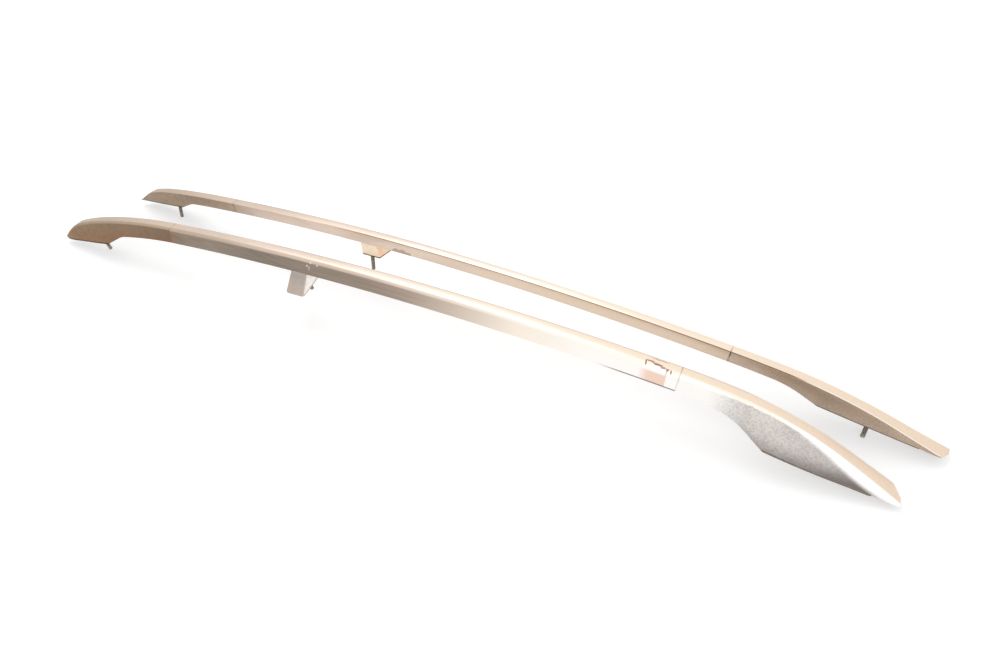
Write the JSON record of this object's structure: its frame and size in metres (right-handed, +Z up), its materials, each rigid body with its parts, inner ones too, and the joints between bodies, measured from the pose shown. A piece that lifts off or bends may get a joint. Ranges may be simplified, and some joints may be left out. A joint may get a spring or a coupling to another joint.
{
  "type": "roof side rail pair",
  "caption": "Raised roof side rails for an estate car: arched hollow aluminium profile, long swept front foot, short blunt rear foot, clamped middle foot and threaded studs that point down",
  "frame": {"origin": "middle of the pair's bounding box along X and Y; Z = 0 is the plane that the front and rear stud tips stand on", "axes": "+X points to the front of the car, +Y to its left side, +Z up"},
  "size_m": [1.9026, 0.2252, 0.1454],
  "materials": {
    "profile": "satin",
    "front_foot": "satin",
    "rear_foot": "satin",
    "middle_foot": "satin",
    "stud": "zinc plated, dulled",
    "pad": "matt",
    "screw": "zinc plated"
  },
  "bodies": {
    "root": {"left_profile": "profile", "left_front_foot": "front_foot", "left_rear_foot": "rear_foot", "left_middle_foot": "middle_foot", "left_front_stud": "stud", "left_rear_stud": "stud", "left_middle_bolt": "stud", "left_middle_nut": "screw", "left_front_pad": "pad", "left_rear_pad": "pad", "left_middle_pad": "pad", "left_joint_screws": "screw", "right_profile": "profile", "right_front_foot": "front_foot", "right_rear_foot": "rear_foot", "right_middle_foot": "middle_foot", "right_front_stud": "stud", "right_rear_stud": "stud", "right_middle_bolt": "stud", "right_middle_nut": "screw", "right_front_pad": "pad", "right_rear_pad": "pad", "right_middle_pad": "pad", "right_joint_screws": "screw"}
  },
  "joints": []
}
